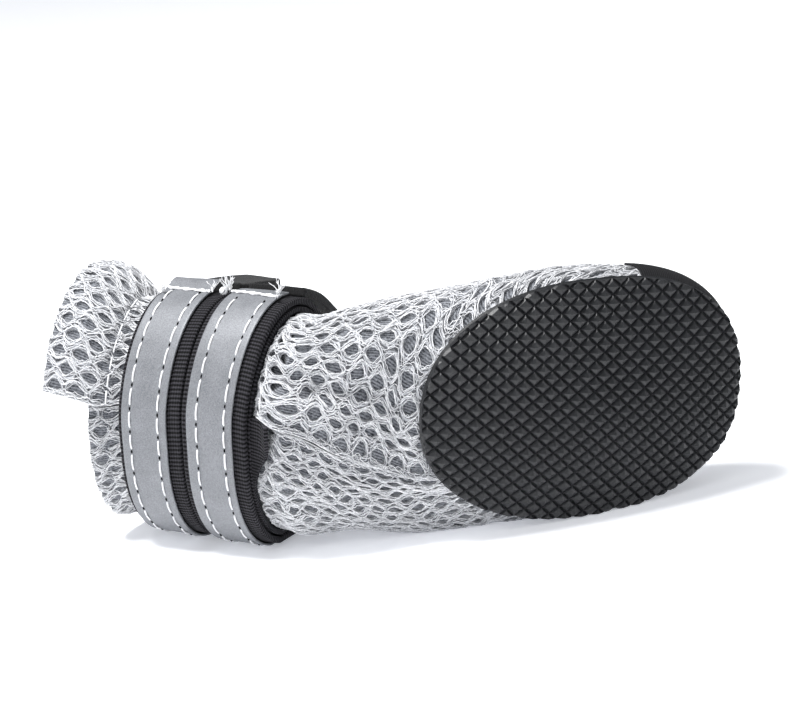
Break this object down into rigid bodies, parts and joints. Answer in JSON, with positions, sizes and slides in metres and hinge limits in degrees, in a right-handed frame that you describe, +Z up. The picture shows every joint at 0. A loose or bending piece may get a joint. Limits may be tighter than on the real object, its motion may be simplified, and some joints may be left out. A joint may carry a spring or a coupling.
{
  "type": "dog boot",
  "caption": "Dog boot lying on its side: dished rubber sole with pyramid studs, air mesh upper with a wrapped shaft, and reflective hook-and-loop straps.",
  "frame": {"origin": "centre of the footprint of the box round the boot as it lies, on the floor", "axes": "+Z up from the floor, +X from the open shaft towards the toe (the sole's length is turned 22 degrees from it), +Y from the sole's tread into the boot"},
  "size_m": [0.1278, 0.0482, 0.0516],
  "materials": {
    "rubber": "moulded, satin",
    "air_mesh": "knitted mesh with open holes",
    "black_cloth": "woven, matte",
    "webbing": "ribbed, matte",
    "reflective_tape": "satin grey tape",
    "foam": "matte foam sheet"
  },
  "bodies": {
    "root": {"outsole": "rubber", "insole": "foam", "upper": "air_mesh", "toe_cap": "black_cloth", "loop_band": "webbing", "strap_foot": "webbing", "reflective_tape_foot": "reflective_tape", "strap_collar": "webbing", "reflective_tape_collar": "reflective_tape", "hook_tab_foot": "webbing", "hook_tab_collar": "webbing"}
  },
  "joints": []
}
